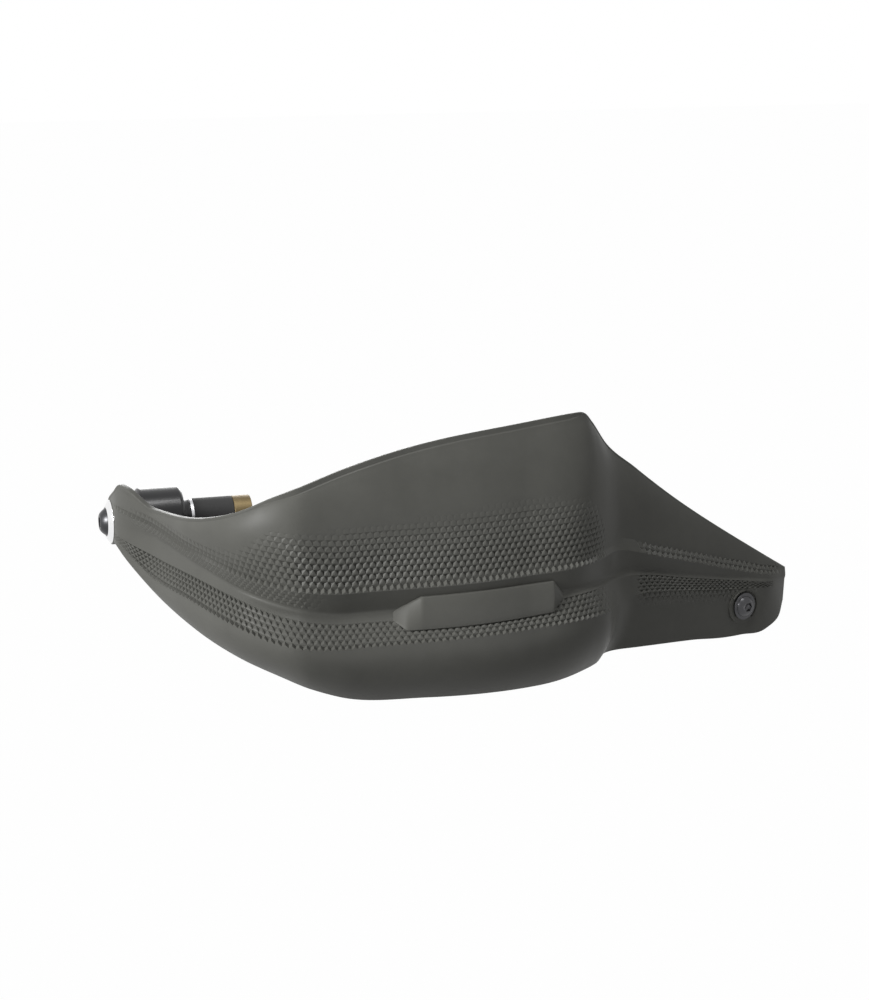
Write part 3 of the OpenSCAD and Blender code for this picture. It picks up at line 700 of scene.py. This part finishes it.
# Square lamps: azimuth and elevation in degrees, distance, size and power
lamps = {"left": (-68, 20, 2.1, 0.6, 53), "front": (24, -12, 1.5, 0.7, 4.4), "top": (-5, 75, 1.85, 0.5, 12),
    "back": (165, 14, 2.4, 1.2, 22)}
centre = Vector((0.13, -0.06, -0.01))
for name, (turn, rise, away, size, power) in lamps.items():
    side = direction(math.radians(turn), math.radians(rise))
    data = bpy.data.lights.new(name, "AREA")
    data.energy = power
    data.size = size
    lamp = bpy.data.objects.new(name, data)
    lamp.location = centre + side * away
    lamp.rotation_mode = "QUATERNION"
    lamp.rotation_quaternion = (-side).to_track_quat("-Z", "Y")
    bpy.context.scene.collection.objects.link(lamp)


def shown_to(tree, *rays):
    """1 for the named kinds of ray and 0 for the rest."""
    light_path = tree.nodes.new("ShaderNodeLightPath")
    value = light_path.outputs[rays[0]]
    for ray in rays[1:]:
        either = tree.nodes.new("ShaderNodeMath")
        either.operation = "MAXIMUM"
        tree.links.new(value, either.inputs[0])
        tree.links.new(light_path.outputs[ray], either.inputs[1])
        value = either.outputs[0]
    return value


# Surroundings that are white to the eye and in reflections, and dim as light
dim_light = 0.03
world = bpy.data.worlds.new("world")
bpy.context.scene.world = world
world.use_nodes = True
tree = world.node_tree
background = tree.nodes["Background"]
background.inputs["Color"].default_value = (1, 1, 1, 1)
strength = tree.nodes.new("ShaderNodeMapRange")
strength.inputs["To Min"].default_value = dim_light
strength.inputs["To Max"].default_value = 1.0
shown = shown_to(tree, "Is Camera Ray", "Is Glossy Ray", "Is Transmission Ray")
tree.links.new(shown, strength.inputs["Value"])
tree.links.new(strength.outputs["Result"], background.inputs["Strength"])

# Pale floor well below the held part
floor_z = -0.42
reach = 8.0
floor_glow = 0.99
floor_material, tree, shader = new_material("floor")
shader.inputs["Base Color"].default_value = (0.15, 0.15, 0.15, 1)
shader.inputs["Roughness"].default_value = 0.9
glow = tree.nodes.new("ShaderNodeEmission")
glow.inputs["Color"].default_value = (1, 1, 1, 1)
part = tree.nodes.new("ShaderNodeMath")
part.operation = "MULTIPLY"
part.inputs[1].default_value = floor_glow
mix = tree.nodes.new("ShaderNodeMixShader")
tree.links.new(shown_to(tree, "Is Camera Ray", "Is Glossy Ray"), part.inputs[0])
tree.links.new(part.outputs[0], mix.inputs["Fac"])
tree.links.new(shader.outputs[0], mix.inputs[1])
tree.links.new(glow.outputs[0], mix.inputs[2])
tree.links.new(mix.outputs[0], tree.nodes["Material Output"].inputs["Surface"])
floor_corners = [(-reach, -reach, floor_z), (reach, -reach, floor_z), (reach, reach, floor_z),
    (-reach, reach, floor_z)]
floor = mesh_object("floor", floor_corners, [(0, 1, 2, 3)], floor_material, scale=1)

# The flat seat at the bar end and the boss behind the arm screw
seat_r, bolt_r, seat_edge = ring_d / 2 + seat_margin, (end_bolt_d + hole_clear) / 2, 0.1
boss_r, sleeve_r, boss_top = arm_hole_d / 2 + arm_boss_wall, arm_hole_d / 2, -1.2
boss_edge, boss_round = 0.6, 0.18
seat_profile = [(bolt_r, tab_in), (seat_r - seat_edge, tab_in), (seat_r, tab_in + seat_edge),
    (seat_r, tab_out - seat_edge), (seat_r - seat_edge, tab_out), (bolt_r, tab_out)]
boss_profile = [(sleeve_r, -arm_boss_h), (boss_r - boss_edge, -arm_boss_h),
    (boss_r - boss_round, boss_round - arm_boss_h), (boss_r, boss_edge - arm_boss_h), (boss_r, boss_top),
    (sleeve_r, boss_top)]
for name, profile, place in (("bar_end_seat", seat_profile, at_bar_end), ("arm_boss", boss_profile, at_arm)):
    shell_piece(name, *turned(profile, place), sharp=35)

# Rounding of the other parts' edges
weld = 0.002 * MM
flat_angle = math.radians(0.5)
edge_angle = math.radians(28)
sharp_angle = math.radians(38)


def rounded(name, surface, width):
    """A copy of a solid with its sharp edges rounded."""
    mesh = frame["nodes"][name].data.copy()
    mesh.name = name + "_rounded"
    work = bmesh.new()
    work.from_mesh(mesh)
    bmesh.ops.remove_doubles(work, verts=work.verts, dist=weld)
    bmesh.ops.dissolve_limit(work, angle_limit=flat_angle, verts=work.verts, edges=work.edges)
    edges = [e for e in work.edges
        if len(e.link_faces) == 2 and e.is_convex and e.calc_face_angle() > edge_angle]
    bmesh.ops.bevel(work, geom=edges, offset=width * MM, offset_type="OFFSET", segments=3, profile=0.5,
        affect="EDGES", clamp_overlap=True)
    bmesh.ops.triangulate(work, faces=[f for f in work.faces if len(f.verts) > 4])
    bmesh.ops.dissolve_degenerate(work, edges=work.edges, dist=weld)
    bmesh.ops.recalc_face_normals(work, faces=work.faces)
    work.to_mesh(mesh)
    work.free()
    mesh.polygons.foreach_set("use_smooth", [True] * len(mesh.polygons))
    mesh.set_sharp_from_angle(angle=sharp_angle)
    mesh.materials.clear()
    mesh.materials.append(surfaces[surface])
    piece = bpy.data.objects.new(name + "_rounded", mesh)
    bpy.context.scene.collection.objects.link(piece)
    normals = piece.modifiers.new("even_normals", "WEIGHTED_NORMAL")
    normals.keep_sharp = True
    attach(piece, "root")
    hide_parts(name)


# Each part's surface and the width of its rounded edges
finishes = {"end_ring": ("bright_aluminium", 0.25), "end_bolt": ("black_steel", 0.3),
    "end_spacer": ("black_alloy", 0.5), "bar_end_weight": ("weight_black", 0.5),
    "expander_washer": ("zinc_steel", 0.2), "expander_bush": ("rubber", 0.5), "expander_nut": ("brass", 0.4),
    "arm_screw": ("black_steel", 0.3), "arm_sleeve": ("zinc_steel", 0.2), "arm_rubber": ("rubber", 0.4),
    "arm_washer": ("zinc_steel", 0.2), "arm_nut": ("zinc_steel", 0.3), "bracket": ("bracket_paint", 0.6),
    "foot_washer": ("zinc_steel", 0.2), "foot_bolt": ("black_steel", 0.3), "clamp_body": ("black_alloy", 0.6),
    "clamp_cap": ("black_alloy", 0.6), "clamp_liners": ("liner_plastic", 0.3),
    "clamp_washers": ("zinc_steel", 0.2), "clamp_bolts": ("black_steel", 0.3)}
for name, (surface, width) in finishes.items():
    mesh = frame["nodes"][name].data
    mesh.materials.clear()
    mesh.materials.append(surfaces[surface])
    rounded(name, surface, width)
